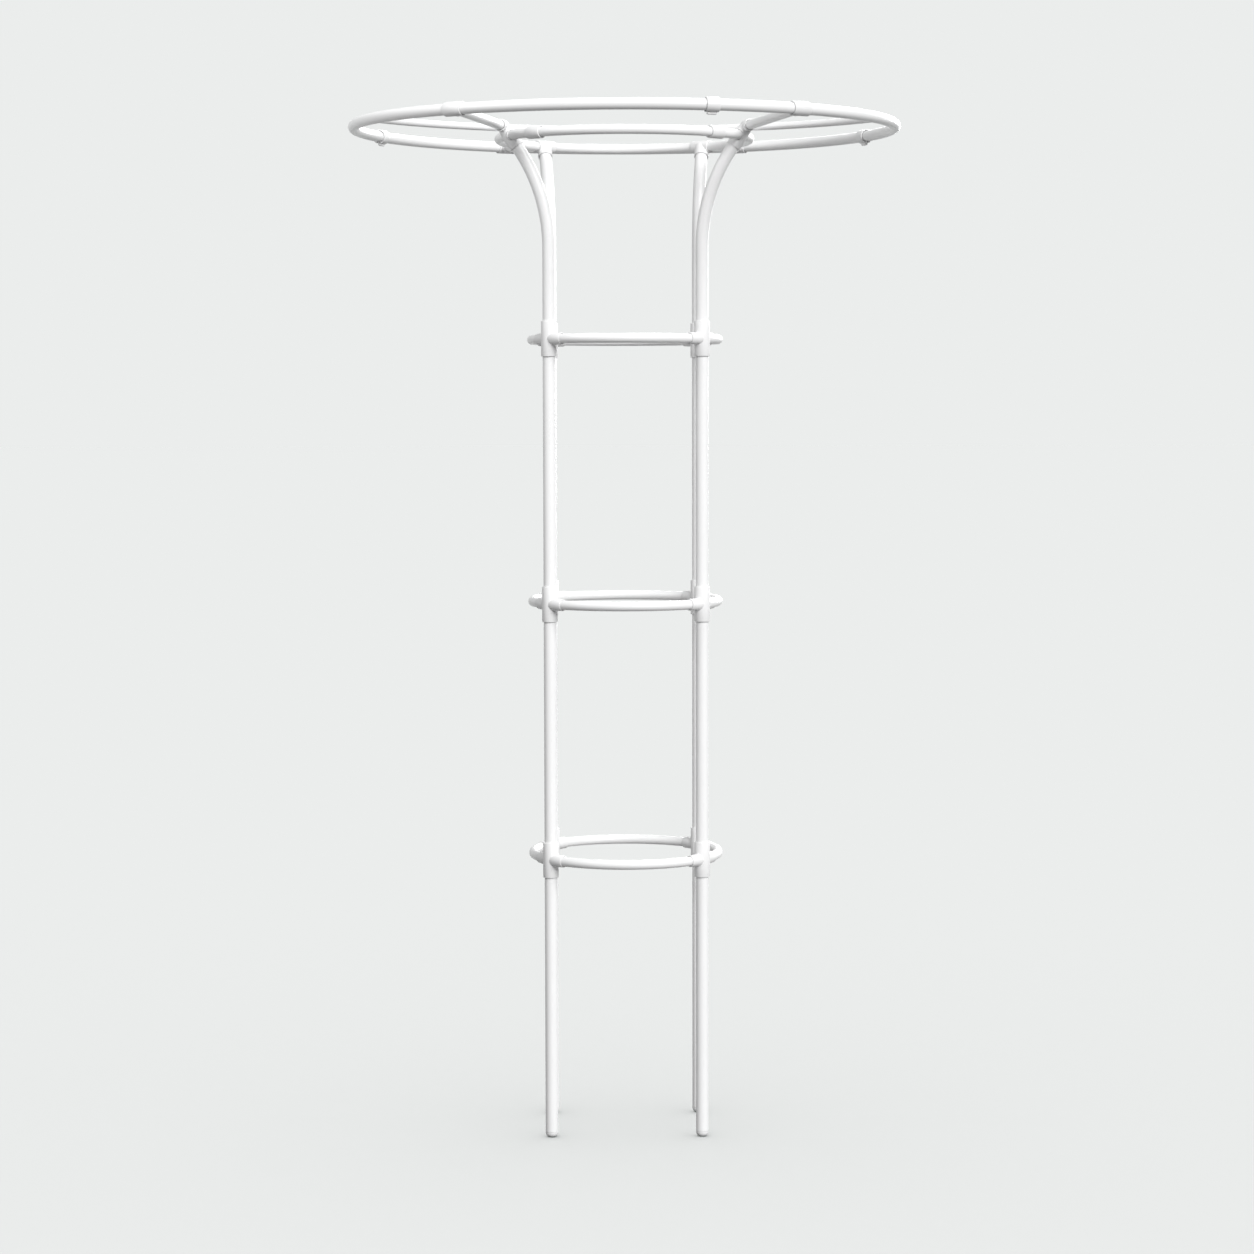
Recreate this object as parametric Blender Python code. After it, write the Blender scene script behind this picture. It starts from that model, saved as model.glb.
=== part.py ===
"""Double-ring plant support: four tube posts, three column rings and a wide ring head.

Units are metres, +Z is up and the front of the support faces -Y. The origin is on the
ground, at the middle of the four feet. Bearings are angles seen from above, measured
from the front (-Y) and growing towards +X.
"""

import math

import bmesh
import bpy
from mathutils import Matrix, Vector

# Tubes
POST_OD = 0.016
POST_WALL = 0.0012
RING_OD = 0.012
OUTER_RING_OD = 0.014
SPOKE_OD = 0.012
BRACE_OD = 0.009

# Column
COLUMN_RADIUS = 0.118
POST_BEARING = math.radians(54.0)
FOOT_TO_LOWER_RING = 0.354
LOWER_TO_MIDDLE_RING = 0.323
MIDDLE_TO_UPPER_RING = 0.332

# Head
UPPER_RING_TO_BEND = 0.113
UPPER_TO_INNER_RING = 0.252
INNER_TO_OUTER_RING = 0.014
INNER_RING_RADIUS = 0.158
OUTER_RING_RADIUS = 0.341
ELBOW_BEARING = math.radians(65.5)
INNER_TEE_BEARING = math.radians(139.5)
INNER_SLEEVE_BEARING = math.radians(44.5)
FRONT_TEE_BEARING = math.radians(36.6)
REAR_TEE_BEARING = math.radians(27.4)
BRACE_END_BEARING = math.radians(65.0)
BRACE_MIDDLE_BACK = 0.022
BRACE_COPE_REACH = 0.027

# Fits
CLEARANCE = 0.0003
CLIP_CLEARANCE = 0.0008
SOCKET_WEB = 0.0016

# Column connectors
CONNECTOR_HEIGHT = 0.044
CONNECTOR_WALL = 0.0016
STUB_REACH = 0.0150
STUB_WALL = 0.0010
STUB_TAPER = 0.0005

# Head fittings
POST_SOCKET = 0.017
POST_SOCKET_WALL = 0.0010
ELBOW_CROWN_RISE = 0.014
CROWN_BULGE = 0.0003
RING_COLLAR_HALF = 0.0095
SPOKE_COLLAR = 0.0155
COLLAR_WALL = 0.0013
SLEEVE_WALL = 0.0017
OUTER_TEE_WALL = 0.0014
INNER_TEE_HALF = 0.014
OUTER_TEE_HALF = 0.0125
INNER_SLEEVE_HALF = 0.011
ELBOW_SPOKE_WEB = 0.0095
BORE_RELIEF = 0.008

# Ring clips
CLIP_FRONT_BEARING = math.radians(16.7)
CLIP_SIDE_BEARING = math.radians(112.5)
CLIP_HALF = 0.008
CLIP_WALL = 0.0012
CLIP_TAB_WIDTH = 0.012
CLIP_TAB_THICKNESS = 0.0032
CLIP_TAB_DROP = 0.0028
CLIP_TAB_ROUND = 0.0015

# Feet
FOOT_DOME = 0.0065
FOOT_BAND = 0.0007
FOOT_FLAT_RADIUS = 0.003
FOOT_SPIGOT = 0.014

# Edges and facets
EDGE = 0.0006
SHARP_ANGLE = math.radians(40)
POST_SIDES = 12
SIDES = 10
COLUMN_SIDES = 8
BRACE_SIDES = 8
COLUMN_STEP = math.radians(10.0)
INNER_STEP = math.radians(9.0)
OUTER_STEP = math.radians(5.5)
BRACE_STEP = math.radians(7.0)
FLARE_STEPS = 6
DOME_STEPS = 3

# Worked out from the driving sizes
POST_R = POST_OD / 2
RING_R = RING_OD / 2
OUTER_R = OUTER_RING_OD / 2
SPOKE_R = SPOKE_OD / 2
BRACE_R = BRACE_OD / 2
LOWER_RING_Z = FOOT_TO_LOWER_RING
MIDDLE_RING_Z = LOWER_RING_Z + LOWER_TO_MIDDLE_RING
UPPER_RING_Z = MIDDLE_RING_Z + MIDDLE_TO_UPPER_RING
BEND_Z = UPPER_RING_Z + UPPER_RING_TO_BEND
INNER_RING_Z = UPPER_RING_Z + UPPER_TO_INNER_RING
OUTER_RING_Z = INNER_RING_Z + INNER_TO_OUTER_RING
CONNECTOR_R = POST_R + CLEARANCE + CONNECTOR_WALL
SOCKET_START = POST_R + CLEARANCE + SOCKET_WEB
STUB_MOUTH = CONNECTOR_R + STUB_REACH
STUB_R = RING_R + CLEARANCE + STUB_WALL
COLLAR_R = SPOKE_R + CLEARANCE + COLLAR_WALL
POST_COLLAR_R = POST_R + CLEARANCE + POST_SOCKET_WALL

LEVELS = {"lower": LOWER_RING_Z, "middle": MIDDLE_RING_Z, "upper": UPPER_RING_Z}
POST_BEARINGS = {
    "front_right": POST_BEARING,
    "rear_right": math.pi - POST_BEARING,
    "rear_left": math.pi + POST_BEARING,
    "front_left": 2 * math.pi - POST_BEARING,
}
UP = Vector((0, 0, 1))


def clear_scene():
    """Remove every object, so that the model starts from an empty scene."""
    for item in list(bpy.data.objects):
        bpy.data.objects.remove(item, do_unlink=True)


def make_material(name, colour, roughness):
    """A coated or moulded white finish."""
    material = bpy.data.materials.new(name)
    material.use_nodes = True
    shader = material.node_tree.nodes["Principled BSDF"]
    shader.inputs["Base Color"].default_value = (*colour, 1.0)
    shader.inputs["Roughness"].default_value = roughness
    shader.inputs["Metallic"].default_value = 0.0
    return material


def bearing(angle, radius, height):
    """The point at this bearing, distance from the axis and height."""
    return Vector((math.sin(angle) * radius, -math.cos(angle) * radius, height))


def bored(radius, clearance=CLEARANCE, sides=SIDES):
    """Cutter radius whose flats, not corners, clear a tube of this radius."""
    return (radius + clearance) / math.cos(math.pi / sides)


def section_matrix(centre, tangent, normal, radius):
    """Place a unit circle square to the tangent, with one axis along the normal."""
    along = tangent.normalized()
    side = (normal - along * normal.dot(along)).normalized()
    other = along.cross(side)
    columns = Matrix((side * radius, other * radius, along)).transposed()
    return Matrix.Translation(centre) @ columns.to_4x4()


def tangents(points):
    """Direction at each point of a path, mitred at its inner points."""
    steps = [(b - a).normalized() for a, b in zip(points, points[1:])]
    inner = [(a + b).normalized() for a, b in zip(steps, steps[1:])]
    return [steps[0], *inner, steps[-1]]


def pipe(points, radii, normal, sides=SIDES, capped=True, ways=None):
    """A round bar through the points: one circle, extruded from station to station."""
    if not isinstance(radii, (list, tuple)):
        radii = [radii] * len(points)
    sections = [
        section_matrix(point, tangent, normal, radius)
        for point, tangent, radius in zip(points, ways or tangents(points), radii)
    ]
    bm = bmesh.new()
    bmesh.ops.create_circle(bm, cap_ends=capped, radius=1.0, segments=sides, matrix=sections[0])
    loop = [edge for edge in bm.edges]
    for before, after in zip(sections, sections[1:]):
        made = bmesh.ops.extrude_edge_only(bm, edges=loop)["geom"]
        fresh = [item for item in made if isinstance(item, bmesh.types.BMVert)]
        loop = [
            item for item in made
            if isinstance(item, bmesh.types.BMEdge) and all(vert in fresh for vert in item.verts)
        ]
        bmesh.ops.transform(bm, matrix=after @ before.inverted(), verts=fresh)
    if capped:
        bmesh.ops.edgeloop_fill(bm, edges=loop)
    bmesh.ops.recalc_face_normals(bm, faces=bm.faces[:])
    return bm


def turned(profile, sides=POST_SIDES):
    """A solid turned about Z from a profile that starts and ends on the axis."""
    bm = bmesh.new()
    verts = [bm.verts.new((radius, 0, height)) for radius, height in profile]
    edges = [bm.edges.new(pair) for pair in zip(verts, verts[1:])]
    bmesh.ops.spin(
        bm, geom=verts + edges, axis=UP, cent=(0, 0, 0), angle=2 * math.pi,
        steps=sides, use_merge=True,
    )
    bmesh.ops.remove_doubles(bm, verts=bm.verts[:], dist=1e-6)
    bmesh.ops.recalc_face_normals(bm, faces=bm.faces[:])
    return bm


def to_mesh(bm, name):
    """Hand a bmesh over as a mesh, shaded smooth except at its real edges."""
    mesh = bpy.data.meshes.new(name)
    bm.to_mesh(mesh)
    bm.free()
    mesh.shade_smooth()
    mesh.set_sharp_from_angle(angle=SHARP_ANGLE)
    return mesh


def combine(name, solids, cutters):
    """Join the solids into one body, then cut the cutters out of it."""
    body = bpy.data.objects.new(name, to_mesh(solids[0], name))
    bpy.context.collection.objects.link(body)
    tools = [(solid, "UNION") for solid in solids[1:]]
    tools += [(cutter, "DIFFERENCE") for cutter in cutters]
    helpers = []
    for solid, operation in tools:
        helper = bpy.data.objects.new(name + "_tool", to_mesh(solid, name + "_tool"))
        bpy.context.collection.objects.link(helper)
        helper.hide_render = True
        helper.display_type = "WIRE"
        helpers.append(helper)
        cut = body.modifiers.new(operation.lower(), "BOOLEAN")
        cut.operation = operation
        cut.solver = "EXACT"
        cut.object = helper
    bpy.context.view_layer.update()
    depsgraph = bpy.context.evaluated_depsgraph_get()
    mesh = bpy.data.meshes.new_from_object(body.evaluated_get(depsgraph))
    for item in [*helpers, body]:
        bpy.data.objects.remove(item, do_unlink=True)
    mesh.name = name
    mesh.set_sharp_from_angle(angle=SHARP_ANGLE)
    return mesh


def place(name, mesh, material, location=(0, 0, 0), turn=0.0):
    """Put one named piece in the scene."""
    piece = bpy.data.objects.new(name, mesh)
    bpy.context.collection.objects.link(piece)
    mesh.materials.clear()
    mesh.materials.append(material)
    piece.location = location
    piece.rotation_euler = (0, 0, turn)
    return piece


def hollow(piece, wall):
    """Give an open tube its wall, measured inwards."""
    skin = piece.modifiers.new("wall", "SOLIDIFY")
    skin.thickness = wall
    skin.offset = -1.0
    skin.use_even_offset = True
    return piece


def ring_pipe(radius, height, bearings, radii, sides=SIDES):
    """A bar along a level circle; every section, the ends too, is square to the circle."""
    points = [bearing(angle, radius, height) for angle in bearings]
    return pipe(points, radii, UP, sides, ways=[ring_way(angle) for angle in bearings])


def spread(knots, step):
    """Bearings through all the knots, with even steps no wider than this between them."""
    filled = [knots[0]]
    for start, stop in zip(knots, knots[1:]):
        count = max(1, math.ceil((stop - start) / step - 1e-6))
        filled += [start + (stop - start) * index / count for index in range(1, count + 1)]
    return filled


def ring_sleeve(radius, height, centre, half, sleeve_r, sides=SIDES):
    """A sleeve blank round a level ring, with broken edges at both mouths."""
    reach = half / radius
    lip = EDGE / radius
    bearings = [centre - reach, centre - reach + lip, centre, centre + reach - lip, centre + reach]
    radii = [sleeve_r - EDGE, sleeve_r, sleeve_r, sleeve_r, sleeve_r - EDGE]
    return ring_pipe(radius, height, bearings, radii, sides)


def ring_bore(radius, height, centre, half, bore_r, relief=2 * EDGE):
    """The cutter for a sleeve: it bends where the tube inside it bends."""
    reach = half / radius
    past = relief / radius
    bearings = [centre - reach - past, centre - reach, centre, centre + reach, centre + reach + past]
    return ring_pipe(radius, height, bearings, bore_r)


def straight(start, direction, first, last, radius, normal, lip=0.0):
    """A straight bar from one distance to another along a direction."""
    way = direction.normalized()
    stops = [first, last - lip, last] if lip else [first, last]
    radii = [radius, radius, radius - lip] if lip else [radius, radius]
    return pipe([start + way * stop for stop in stops], radii, normal)


def ring_way(angle):
    """Direction of a level ring at this bearing."""
    return Vector((math.cos(angle), math.sin(angle), 0))


def stop_short(tube_r, bar_r, way, angle):
    """How far from a ring's centre line a bar that meets it has to end."""
    slant = math.asin(abs(way.normalized().dot(ring_way(angle))))
    return tube_r / math.cos(slant) + bar_r * math.tan(slant) + 2 * CLEARANCE


class Flare:
    """The bent top of a post: straight up, one round bend, then straight into its fitting."""

    def __init__(self, post_bearing, end_bearing):
        self.foot = bearing(post_bearing, COLUMN_RADIUS, BEND_Z)
        self.end = bearing(end_bearing, INNER_RING_RADIUS, INNER_RING_Z)
        run = Vector((self.end.x - self.foot.x, self.end.y - self.foot.y, 0))
        self.outward = run.normalized()
        self.normal = UP.cross(self.outward)
        rise = INNER_RING_Z - BEND_Z
        self.angle = 2 * math.atan(run.length / (rise + POST_SOCKET))
        level = POST_SOCKET * math.cos(self.angle)
        self.bend_radius = (rise - level) / math.sin(self.angle)
        self.way = self.outward * math.sin(self.angle) + UP * math.cos(self.angle)
        self.stop = stop_short(RING_R, POST_R, self.way, end_bearing)

    def path(self):
        """Centre line from the upper connector's middle to the top fitting."""
        bottom = Vector((self.foot.x, self.foot.y, UPPER_RING_Z + CLEARANCE / 2))
        points = [bottom]
        for index in range(FLARE_STEPS + 1):
            turn = self.angle * index / FLARE_STEPS
            out = self.outward * self.bend_radius * (1 - math.cos(turn))
            points.append(self.foot + out + UP * self.bend_radius * math.sin(turn))
        points.append(self.end - self.way * self.stop)
        return points


def mirrored(angle, side):
    """The same bearing on the right (side 1) or the left (side -1)."""
    return angle if side > 0 else 2 * math.pi - angle


def make_posts(tube):
    """Straight tubes from the foot plugs to the middle of the upper connectors."""
    bottom = FOOT_DOME + CLEARANCE
    top = UPPER_RING_Z - CLEARANCE / 2
    ends = [Vector((0, 0, bottom)), Vector((0, 0, top))]
    bm = pipe(ends, POST_R, Vector((1, 0, 0)), POST_SIDES, capped=False)
    mesh = to_mesh(bm, "post")
    for name, angle in POST_BEARINGS.items():
        post = place("post_" + name, mesh, tube, bearing(angle, COLUMN_RADIUS, 0), angle)
        hollow(post, POST_WALL)


def make_post_tops(tube, flares):
    """Bent tubes that carry the head."""
    for name, flare in flares.items():
        bm = pipe(flare.path(), POST_R, flare.normal, POST_SIDES, capped=False)
        mesh = to_mesh(bm, "post_top_" + name)
        hollow(place("post_top_" + name, mesh, tube), POST_WALL)


def make_feet(plastic):
    """Domed plugs with a spigot in the tube and a small flat to stand on."""
    spigot = POST_R - POST_WALL - CLEARANCE
    dome = []
    for index in range(DOME_STEPS + 1):
        turn = math.pi / 2 * index / DOME_STEPS
        radius = FOOT_FLAT_RADIUS + (POST_R - FOOT_FLAT_RADIUS) * math.sin(turn)
        dome.append((radius, (FOOT_DOME - FOOT_BAND) * (1 - math.cos(turn))))
    top = FOOT_DOME + FOOT_SPIGOT
    inside = spigot * math.cos(math.pi / POST_SIDES)
    profile = [
        (0, 0), *dome, (POST_R, FOOT_DOME), (inside, FOOT_DOME),
        (inside, top - EDGE), (inside - EDGE, top), (0, top),
    ]
    mesh = to_mesh(turned(profile), "foot_plug")
    for name, angle in POST_BEARINGS.items():
        place("foot_plug_" + name, mesh, plastic, bearing(angle, COLUMN_RADIUS, 0), angle)


def connector_mesh():
    """One column connector, made for a post at the front and at height zero."""
    post = bearing(0, COLUMN_RADIUS, 0)
    half = CONNECTOR_HEIGHT / 2
    lip = EDGE
    sleeve = pipe(
        [post + UP * height for height in (-half, lip - half, half - lip, half)],
        [CONNECTOR_R - lip, CONNECTOR_R, CONNECTOR_R, CONNECTOR_R - lip],
        Vector((1, 0, 0)), POST_SIDES,
    )
    solids = [sleeve]
    bore_half = half + 2 * EDGE
    bore_r = bored(POST_R, sides=POST_SIDES)
    cutters = [pipe([post - UP * bore_half, post + UP * bore_half], bore_r, Vector((1, 0, 0)), POST_SIDES)]
    socket_r = bored(RING_R, sides=COLUMN_SIDES)
    for side in (-1, 1):
        stations = [0.0, SOCKET_START, STUB_MOUTH]
        radii = [STUB_R + STUB_TAPER, STUB_R + STUB_TAPER, STUB_R]
        bearings = [side * station / COLUMN_RADIUS for station in stations]
        solids.append(ring_pipe(COLUMN_RADIUS, 0, bearings, radii, COLUMN_SIDES))
        stations = [SOCKET_START, STUB_MOUTH, STUB_MOUTH + 2 * EDGE]
        bearings = [side * station / COLUMN_RADIUS for station in stations]
        cutters.append(ring_pipe(COLUMN_RADIUS, 0, bearings, socket_r, COLUMN_SIDES))
    return combine("connector", solids, cutters)


def make_connectors(plastic):
    """Twelve crosses: a sleeve on the post and a blind socket for each ring arc."""
    mesh = connector_mesh()
    for level, height in LEVELS.items():
        for name, angle in POST_BEARINGS.items():
            place(f"connector_{level}_{name}", mesh, plastic, (0, 0, height), angle)


def make_column_rings(tube):
    """Three rings of four arcs, each pushed into the sockets at its ends."""
    spans = {
        "front": (-POST_BEARING, POST_BEARING),
        "right": (POST_BEARING, math.pi - POST_BEARING),
        "rear": (math.pi - POST_BEARING, math.pi + POST_BEARING),
        "left": (math.pi + POST_BEARING, 2 * math.pi - POST_BEARING),
    }
    end = (SOCKET_START + CLEARANCE) / COLUMN_RADIUS
    mouth = STUB_MOUTH / COLUMN_RADIUS
    for side, (start, stop) in spans.items():
        bearings = spread([start + end, start + mouth, stop - mouth, stop - end], COLUMN_STEP)
        bm = ring_pipe(COLUMN_RADIUS, 0, bearings, RING_R, COLUMN_SIDES)
        mesh = to_mesh(bm, "ring_arc_" + side)
        for level, height in LEVELS.items():
            place(f"ring_{level}_{side}", mesh, tube, (0, 0, height))


def make_outer_ring(tube):
    """Four arcs that meet end to end inside the outer tees."""
    front = FRONT_TEE_BEARING
    rear = REAR_TEE_BEARING
    spans = {
        "front": (-front, front),
        "right": (front, math.pi - rear),
        "rear": (math.pi - rear, math.pi + rear),
        "left": (math.pi + rear, 2 * math.pi - front),
    }
    end = CLEARANCE / 2 / OUTER_RING_RADIUS
    mouth = OUTER_TEE_HALF / OUTER_RING_RADIUS
    past = mouth + BORE_RELIEF / OUTER_RING_RADIUS
    for side, (start, stop) in spans.items():
        knots = [start + end, start + mouth, start + past, stop - past, stop - mouth, stop - end]
        bearings = spread(knots, OUTER_STEP)
        mesh = to_mesh(ring_pipe(OUTER_RING_RADIUS, OUTER_RING_Z, bearings, OUTER_R), "outer_arc")
        place("outer_ring_" + side, mesh, tube)


def make_inner_ring(tube):
    """A short front arc and a long rear one, joined inside the two ring sleeves."""
    joint = INNER_SLEEVE_BEARING
    end = CLEARANCE / 2 / INNER_RING_RADIUS
    mouth = INNER_SLEEVE_HALF / INNER_RING_RADIUS
    knots = [-joint + end, -joint + mouth, joint - mouth, joint - end]
    mesh = to_mesh(
        ring_pipe(INNER_RING_RADIUS, INNER_RING_Z, spread(knots, INNER_STEP), RING_R), "inner_arc_front",
    )
    place("inner_ring_front", mesh, tube)
    right = [joint + end, joint + mouth]
    for middle, half in ((ELBOW_BEARING, RING_COLLAR_HALF), (INNER_TEE_BEARING, INNER_TEE_HALF)):
        reach = half / INNER_RING_RADIUS
        past = (half + BORE_RELIEF) / INNER_RING_RADIUS
        right += [middle - past, middle - reach, middle, middle + reach, middle + past]
    knots = right + [2 * math.pi - angle for angle in reversed(right)]
    mesh = to_mesh(
        ring_pipe(INNER_RING_RADIUS, INNER_RING_Z, spread(knots, INNER_STEP), RING_R), "inner_arc_rear",
    )
    place("inner_ring_rear", mesh, tube)


def make_inner_sleeves(plastic):
    """Plain sleeves over the two joints of the inner ring."""
    for name, side in (("right", 1), ("left", -1)):
        centre = mirrored(INNER_SLEEVE_BEARING, side)
        sleeve_r = RING_R + CLEARANCE + SLEEVE_WALL
        blank = ring_sleeve(INNER_RING_RADIUS, INNER_RING_Z, centre, INNER_SLEEVE_HALF, sleeve_r)
        bore = ring_bore(INNER_RING_RADIUS, INNER_RING_Z, centre, INNER_SLEEVE_HALF, bored(RING_R))
        mesh = combine("inner_ring_sleeve", [blank], [bore])
        place("inner_ring_sleeve_" + name, mesh, plastic)


def elbow_crown(flare):
    """Middle of the rounded crown, a little past the ring along the post's line."""
    return flare.end + flare.way * ELBOW_CROWN_RISE


def outer_tee_bearing(position):
    """Bearing of the outer tee of one corner."""
    side = 1 if position.endswith("right") else -1
    if position.startswith("front"):
        return mirrored(FRONT_TEE_BEARING, side)
    return mirrored(math.pi - REAR_TEE_BEARING, side)


def spoke_line(position, flare):
    """A spoke's line: start in the inner fitting, end in the outer tee, and its stops there."""
    side = 1 if position.endswith("right") else -1
    front = position.startswith("front")
    angle = outer_tee_bearing(position)
    outer = bearing(angle, OUTER_RING_RADIUS, OUTER_RING_Z)
    inner = elbow_crown(flare) if front else flare.end
    way = outer - inner
    outer_stop = stop_short(OUTER_R, SPOKE_R, way, angle)
    if front:
        inner_stop = ELBOW_SPOKE_WEB
    else:
        inner_stop = stop_short(RING_R, SPOKE_R, way, mirrored(INNER_TEE_BEARING, side))
    return inner, outer, inner_stop, outer_stop


def make_spokes(tube, flares):
    """Straight bars from the inner fittings to the outer tees."""
    for name, flare in flares.items():
        inner, outer, inner_stop, outer_stop = spoke_line(name, flare)
        way = outer - inner
        mesh = to_mesh(straight(inner, way, inner_stop, way.length - outer_stop, SPOKE_R, UP), "spoke")
        place("spoke_" + name, mesh, tube)


def post_socket(flare):
    """The blank and the cutter of the socket that takes a post's bent top."""
    down = -flare.way
    blank = straight(flare.end, down, 0.0, POST_SOCKET, POST_COLLAR_R, flare.normal, EDGE)
    bore = straight(
        flare.end, down, flare.stop - CLEARANCE, POST_SOCKET + 2 * EDGE, bored(POST_R), flare.normal,
    )
    return blank, bore


def spoke_socket(start, way, stop):
    """The blank and the cutter of a socket that takes a spoke's end."""
    blank = straight(start, way, 0.0, SPOKE_COLLAR, COLLAR_R, UP, EDGE)
    bore = straight(start, way, stop - CLEARANCE, SPOKE_COLLAR + 2 * EDGE, bored(SPOKE_R), UP)
    return blank, bore


def make_head_elbows(plastic, flares):
    """Front fittings: post below, inner ring through the middle, spoke from the crown."""
    for name, side in (("right", 1), ("left", -1)):
        flare = flares["front_" + name]
        crown = elbow_crown(flare)
        inner, outer, inner_stop, _ = spoke_line("front_" + name, flare)
        _, post_bore = post_socket(flare)
        stations = [-POST_SOCKET, EDGE - POST_SOCKET, 0.0, ELBOW_CROWN_RISE]
        body = pipe(
            [flare.end + flare.way * station for station in stations],
            [POST_COLLAR_R - EDGE, POST_COLLAR_R, POST_COLLAR_R, COLLAR_R], flare.normal,
        )
        ball = bmesh.new()
        bmesh.ops.create_icosphere(
            ball, subdivisions=2, radius=COLLAR_R + CROWN_BULGE, matrix=Matrix.Translation(crown),
        )
        centre = mirrored(ELBOW_BEARING, side)
        ring_r = RING_R + CLEARANCE + COLLAR_WALL
        collar = ring_sleeve(INNER_RING_RADIUS, INNER_RING_Z, centre, RING_COLLAR_HALF, ring_r)
        ring_cut = ring_bore(
            INNER_RING_RADIUS, INNER_RING_Z, centre, RING_COLLAR_HALF, bored(RING_R), BORE_RELIEF,
        )
        spoke, spoke_bore = spoke_socket(inner, outer - inner, inner_stop)
        mesh = combine(
            "head_elbow", [body, ball, collar, spoke], [post_bore, ring_cut, spoke_bore],
        )
        place("head_elbow_" + name, mesh, plastic)


def make_inner_tees(plastic, flares):
    """Rear fittings on the inner ring: post from below, spoke outwards."""
    for name, side in (("right", 1), ("left", -1)):
        flare = flares["rear_" + name]
        inner, outer, inner_stop, _ = spoke_line("rear_" + name, flare)
        centre = mirrored(INNER_TEE_BEARING, side)
        ring_r = RING_R + CLEARANCE + SLEEVE_WALL
        sleeve = ring_sleeve(INNER_RING_RADIUS, INNER_RING_Z, centre, INNER_TEE_HALF, ring_r)
        ring_cut = ring_bore(
            INNER_RING_RADIUS, INNER_RING_Z, centre, INNER_TEE_HALF, bored(RING_R), BORE_RELIEF,
        )
        lower, post_bore = post_socket(flare)
        spoke, spoke_bore = spoke_socket(inner, outer - inner, inner_stop)
        mesh = combine("inner_tee", [sleeve, lower, spoke], [ring_cut, post_bore, spoke_bore])
        place("inner_tee_" + name, mesh, plastic)


def make_outer_tees(plastic, flares):
    """Sleeves on the outer ring with a socket that looks inwards to the spoke."""
    for name, flare in flares.items():
        inner, outer, _, outer_stop = spoke_line(name, flare)
        centre = outer_tee_bearing(name)
        sleeve_r = OUTER_R + CLEARANCE + OUTER_TEE_WALL
        sleeve = ring_sleeve(OUTER_RING_RADIUS, OUTER_RING_Z, centre, OUTER_TEE_HALF, sleeve_r)
        bore = ring_bore(
            OUTER_RING_RADIUS, OUTER_RING_Z, centre, OUTER_TEE_HALF, bored(OUTER_R), BORE_RELIEF,
        )
        spoke, spoke_bore = spoke_socket(outer, inner - outer, outer_stop)
        mesh = combine("outer_tee", [sleeve, spoke], [bore, spoke_bore])
        place("outer_tee_" + name, mesh, plastic)


def make_brace(tube):
    """A slim bow across the outer ring, coped to the ring's inner side at both ends."""
    end = bearing(BRACE_END_BEARING, OUTER_RING_RADIUS, OUTER_RING_Z)
    sag = BRACE_MIDDLE_BACK - end.y
    radius = (end.x ** 2 + sag ** 2) / (2 * sag)
    centre = Vector((0, BRACE_MIDDLE_BACK - radius, OUTER_RING_Z))
    half = math.asin(end.x / radius)
    turns = spread([-half, half], BRACE_STEP)
    points = [centre + Vector((math.sin(turn), math.cos(turn), 0)) * radius for turn in turns]
    bow = pipe(points, BRACE_R, UP, BRACE_SIDES)
    cutters = []
    for side in (-1, 1):
        reach = BRACE_COPE_REACH / OUTER_RING_RADIUS
        middle = side * BRACE_END_BEARING
        bearings = spread([middle - reach, middle + reach], OUTER_STEP / 2)
        cutters.append(ring_pipe(OUTER_RING_RADIUS, OUTER_RING_Z, bearings, bored(OUTER_R)))
    place("brace_bow", combine("brace_bow", [bow], cutters), tube)


def clip_mesh(name, centre):
    """A sliding sleeve with a small tie tab underneath, in place on the outer ring."""
    clip_r = OUTER_R + CLIP_CLEARANCE + CLIP_WALL
    sleeve = ring_sleeve(OUTER_RING_RADIUS, OUTER_RING_Z, centre, CLIP_HALF, clip_r)
    bore_r = bored(OUTER_R, CLIP_CLEARANCE)
    bore = ring_bore(OUTER_RING_RADIUS, OUTER_RING_Z, centre, CLIP_HALF, bore_r)
    tab = bmesh.new()
    bmesh.ops.create_cube(tab, size=1.0)
    height = clip_r + CLIP_TAB_DROP
    bmesh.ops.scale(tab, vec=(CLIP_TAB_WIDTH, CLIP_TAB_THICKNESS, height), verts=tab.verts[:])
    bmesh.ops.translate(tab, vec=(0, 0, -height / 2), verts=tab.verts[:])
    low = [
        edge for edge in tab.edges
        if all(vert.co.z < -height / 2 for vert in edge.verts)
        and abs(edge.verts[0].co.x - edge.verts[1].co.x) < EDGE
    ]
    bmesh.ops.bevel(
        tab, geom=low, offset=CLIP_TAB_ROUND, segments=2, affect="EDGES", profile=0.5, material=-1,
    )
    spot = Matrix.Translation(bearing(centre, OUTER_RING_RADIUS, OUTER_RING_Z))
    bmesh.ops.transform(tab, matrix=spot @ Matrix.Rotation(centre, 4, "Z"), verts=tab.verts[:])
    mesh = combine(name, [sleeve, tab], [bore])
    mesh.transform(Matrix.Translation((0, 0, -OUTER_RING_Z)))
    return mesh


def make_clips(plastic):
    """Three clips that slide along the outer ring; their origins are on its axis."""
    spots = {
        "front": CLIP_FRONT_BEARING,
        "right": CLIP_SIDE_BEARING,
        "left": 2 * math.pi - CLIP_SIDE_BEARING,
    }
    for name, centre in spots.items():
        place("ring_clip_" + name, clip_mesh("ring_clip", centre), plastic, (0, 0, OUTER_RING_Z))


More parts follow.
